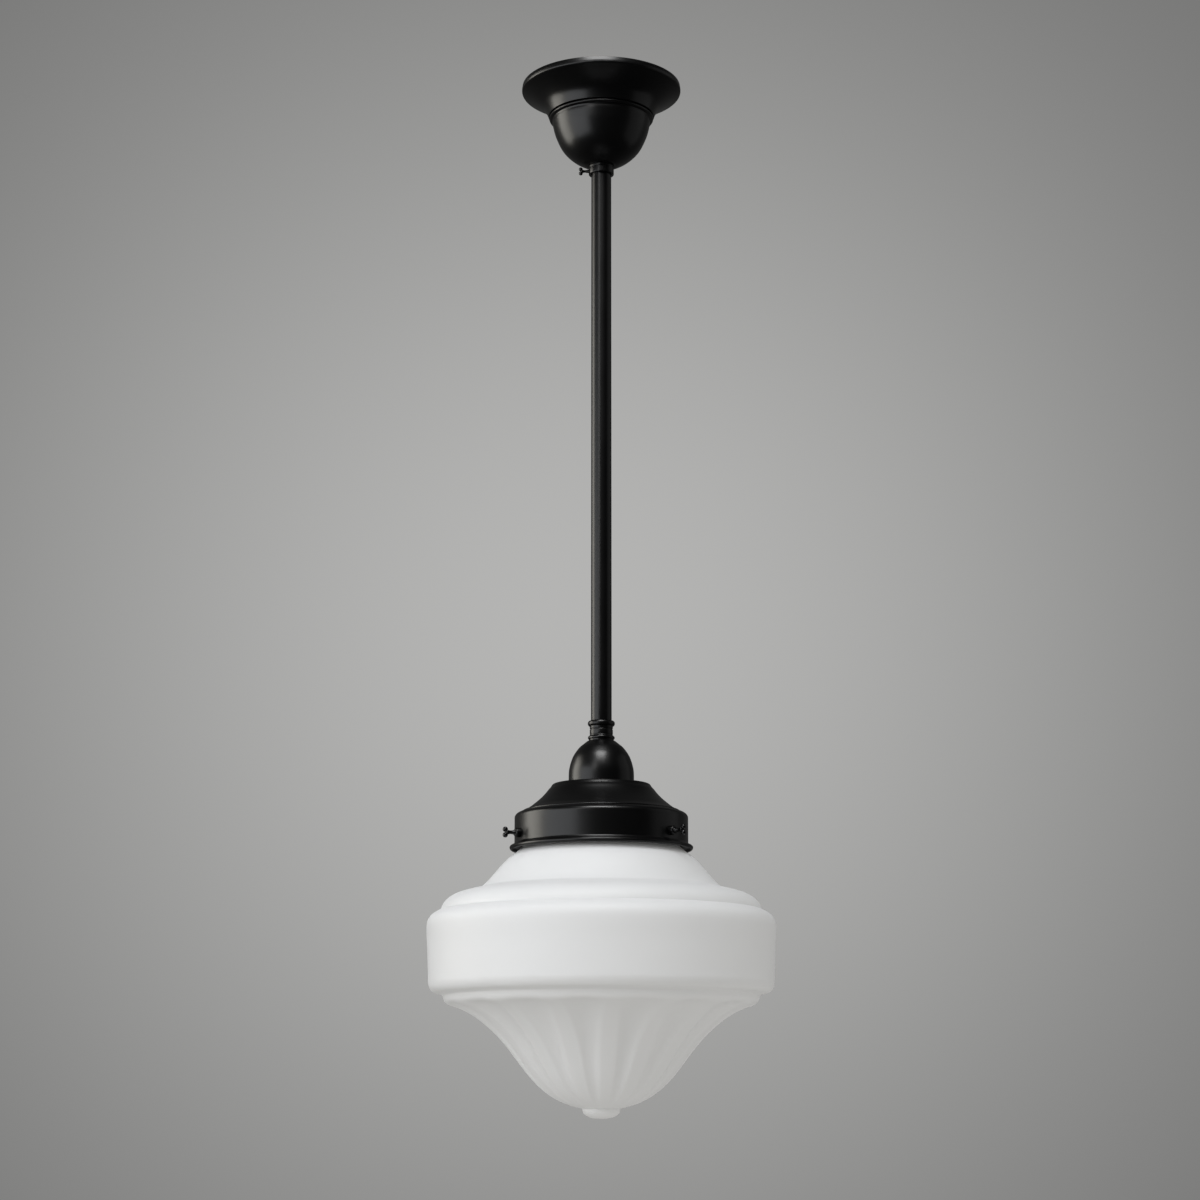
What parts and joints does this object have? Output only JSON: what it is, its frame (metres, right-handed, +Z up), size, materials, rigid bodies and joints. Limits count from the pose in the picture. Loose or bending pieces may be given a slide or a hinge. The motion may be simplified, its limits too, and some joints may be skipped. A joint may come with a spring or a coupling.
{
  "type": "rod pendant light",
  "caption": "Ceiling pendant on a straight rod: spun canopy with a cup, turned coupling, dome and thumbscrewed gallery holding a stepped opal glass shade with a fluted ogee base.",
  "frame": {"origin": "centre of the mounting plane where the crossbar's feet and the canopy's rim meet the ceiling, on the rod's axis", "axes": "+Z up out of the ceiling face, along the rod; +X along the crossbar, so the canopy's thumbscrew points along -X"},
  "size_m": [0.2156, 0.2156, 0.6661],
  "materials": {
    "black_paint": "satin black paint",
    "black_screw": "satin black paint on turned metal",
    "zinc_plate": "zinc plated steel",
    "plain_brass": "plain brass",
    "white_plastic": "moulded, unpainted",
    "black_plastic": "moulded thermoset",
    "ceramic": "unglazed porcelain",
    "opal_glass": "matte white opal glass",
    "bulb_glass": "frosted glass",
    "bulb_metal": "drawn aluminium",
    "black_glass": "black glass insulator"
  },
  "bodies": {
    "hanger": {"crossbar": "zinc_plate", "top_nipple": "plain_brass", "upper_lock_nut": "zinc_plate", "lower_lock_nut": "zinc_plate", "terminal_block": "white_plastic", "terminal_screws": "zinc_plate", "terminal_block_screws": "zinc_plate", "earth_washer": "plain_brass", "earth_screw": "plain_brass", "rod": "black_paint", "coupling": "black_paint", "dome": "black_paint", "gallery": "black_paint", "gallery_bosses": "black_paint", "bottom_nipple": "plain_brass", "gallery_washer": "zinc_plate", "gallery_lock_nut": "zinc_plate", "lampholder_cap": "black_plastic", "lampholder_body": "black_plastic", "lampholder_insert": "ceramic", "screw_shell": "plain_brass", "centre_contact": "plain_brass"},
    "canopy": {"canopy_flange": "black_paint", "canopy_cup": "black_paint", "canopy_collar": "black_paint", "canopy_ring_nut": "zinc_plate"},
    "canopy_thumbscrew": {"canopy_screw": "black_screw"},
    "shade": {"glass_shade": "opal_glass"},
    "thumbscrew_1": {"gallery_screw_1": "black_screw"},
    "thumbscrew_2": {"gallery_screw_2": "black_screw"},
    "thumbscrew_3": {"gallery_screw_3": "black_screw"},
    "bulb": {"bulb_envelope": "bulb_glass", "bulb_cap": "bulb_metal", "bulb_insulator": "black_glass", "bulb_contact": "bulb_metal"}
  },
  "joints": [
    {"name": "canopy_slide", "type": "slide", "parent": "hanger", "child": "canopy", "axis": [0, 0, -1], "range_m": [0, 0.358]},
    {"name": "canopy_screw_slide", "type": "slide", "parent": "canopy", "child": "canopy_thumbscrew", "axis": [-1, 0, 0], "range_m": [0, 0.0025]},
    {"name": "shade_drop", "type": "slide", "parent": "hanger", "child": "shade", "axis": [0, 0, -1], "range_m": [0, 0.0066]},
    {"name": "gallery_screw_1_slide", "type": "slide", "parent": "hanger", "child": "thumbscrew_1", "axis": [0.7859, -0.6184, 0], "range_m": [0, 0.0045]},
    {"name": "gallery_screw_2_slide", "type": "slide", "parent": "hanger", "child": "thumbscrew_2", "axis": [0.1426, 0.9898, 0], "range_m": [0, 0.0045]},
    {"name": "gallery_screw_3_slide", "type": "slide", "parent": "hanger", "child": "thumbscrew_3", "axis": [-0.9285, -0.3714, 0], "range_m": [0, 0.0045]},
    {"name": "bulb_turn", "type": "hinge", "parent": "hanger", "child": "bulb", "pos_m": [0, 0, -0.5], "axis": [0, 0, 1], "range_deg": [0, 1080]}
  ],
  "couplings": [
    {"joint": "gallery_screw_1_slide", "follows": "shade_drop", "ratio": 0.6667},
    {"joint": "gallery_screw_2_slide", "follows": "shade_drop", "ratio": 0.6667},
    {"joint": "gallery_screw_3_slide", "follows": "shade_drop", "ratio": 0.6667}
  ]
}
